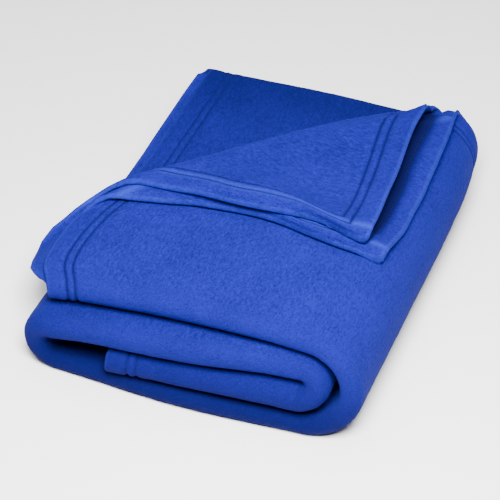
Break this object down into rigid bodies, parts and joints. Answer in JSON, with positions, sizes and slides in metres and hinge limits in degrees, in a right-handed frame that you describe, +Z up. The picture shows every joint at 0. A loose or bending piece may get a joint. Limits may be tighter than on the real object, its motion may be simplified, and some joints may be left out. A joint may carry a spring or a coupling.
{
  "type": "folded fleece blanket",
  "caption": "Folded fleece throw: a hemmed cloth folded back and forth, rolled flat into a soft bundle, with its top corner turned over along a diagonal.",
  "frame": {"origin": "centre of the bundle's bounding box, on the surface it lies on", "axes": "+X to the bundle's right, +Y to its back, +Z up; the front shows the ends of the rolled slabs"},
  "size_m": [0.3281, 0.3989, 0.118],
  "materials": {
    "fleece": "matt brushed pile"
  },
  "bodies": {
    "root": {"blanket": "fleece"}
  },
  "joints": []
}
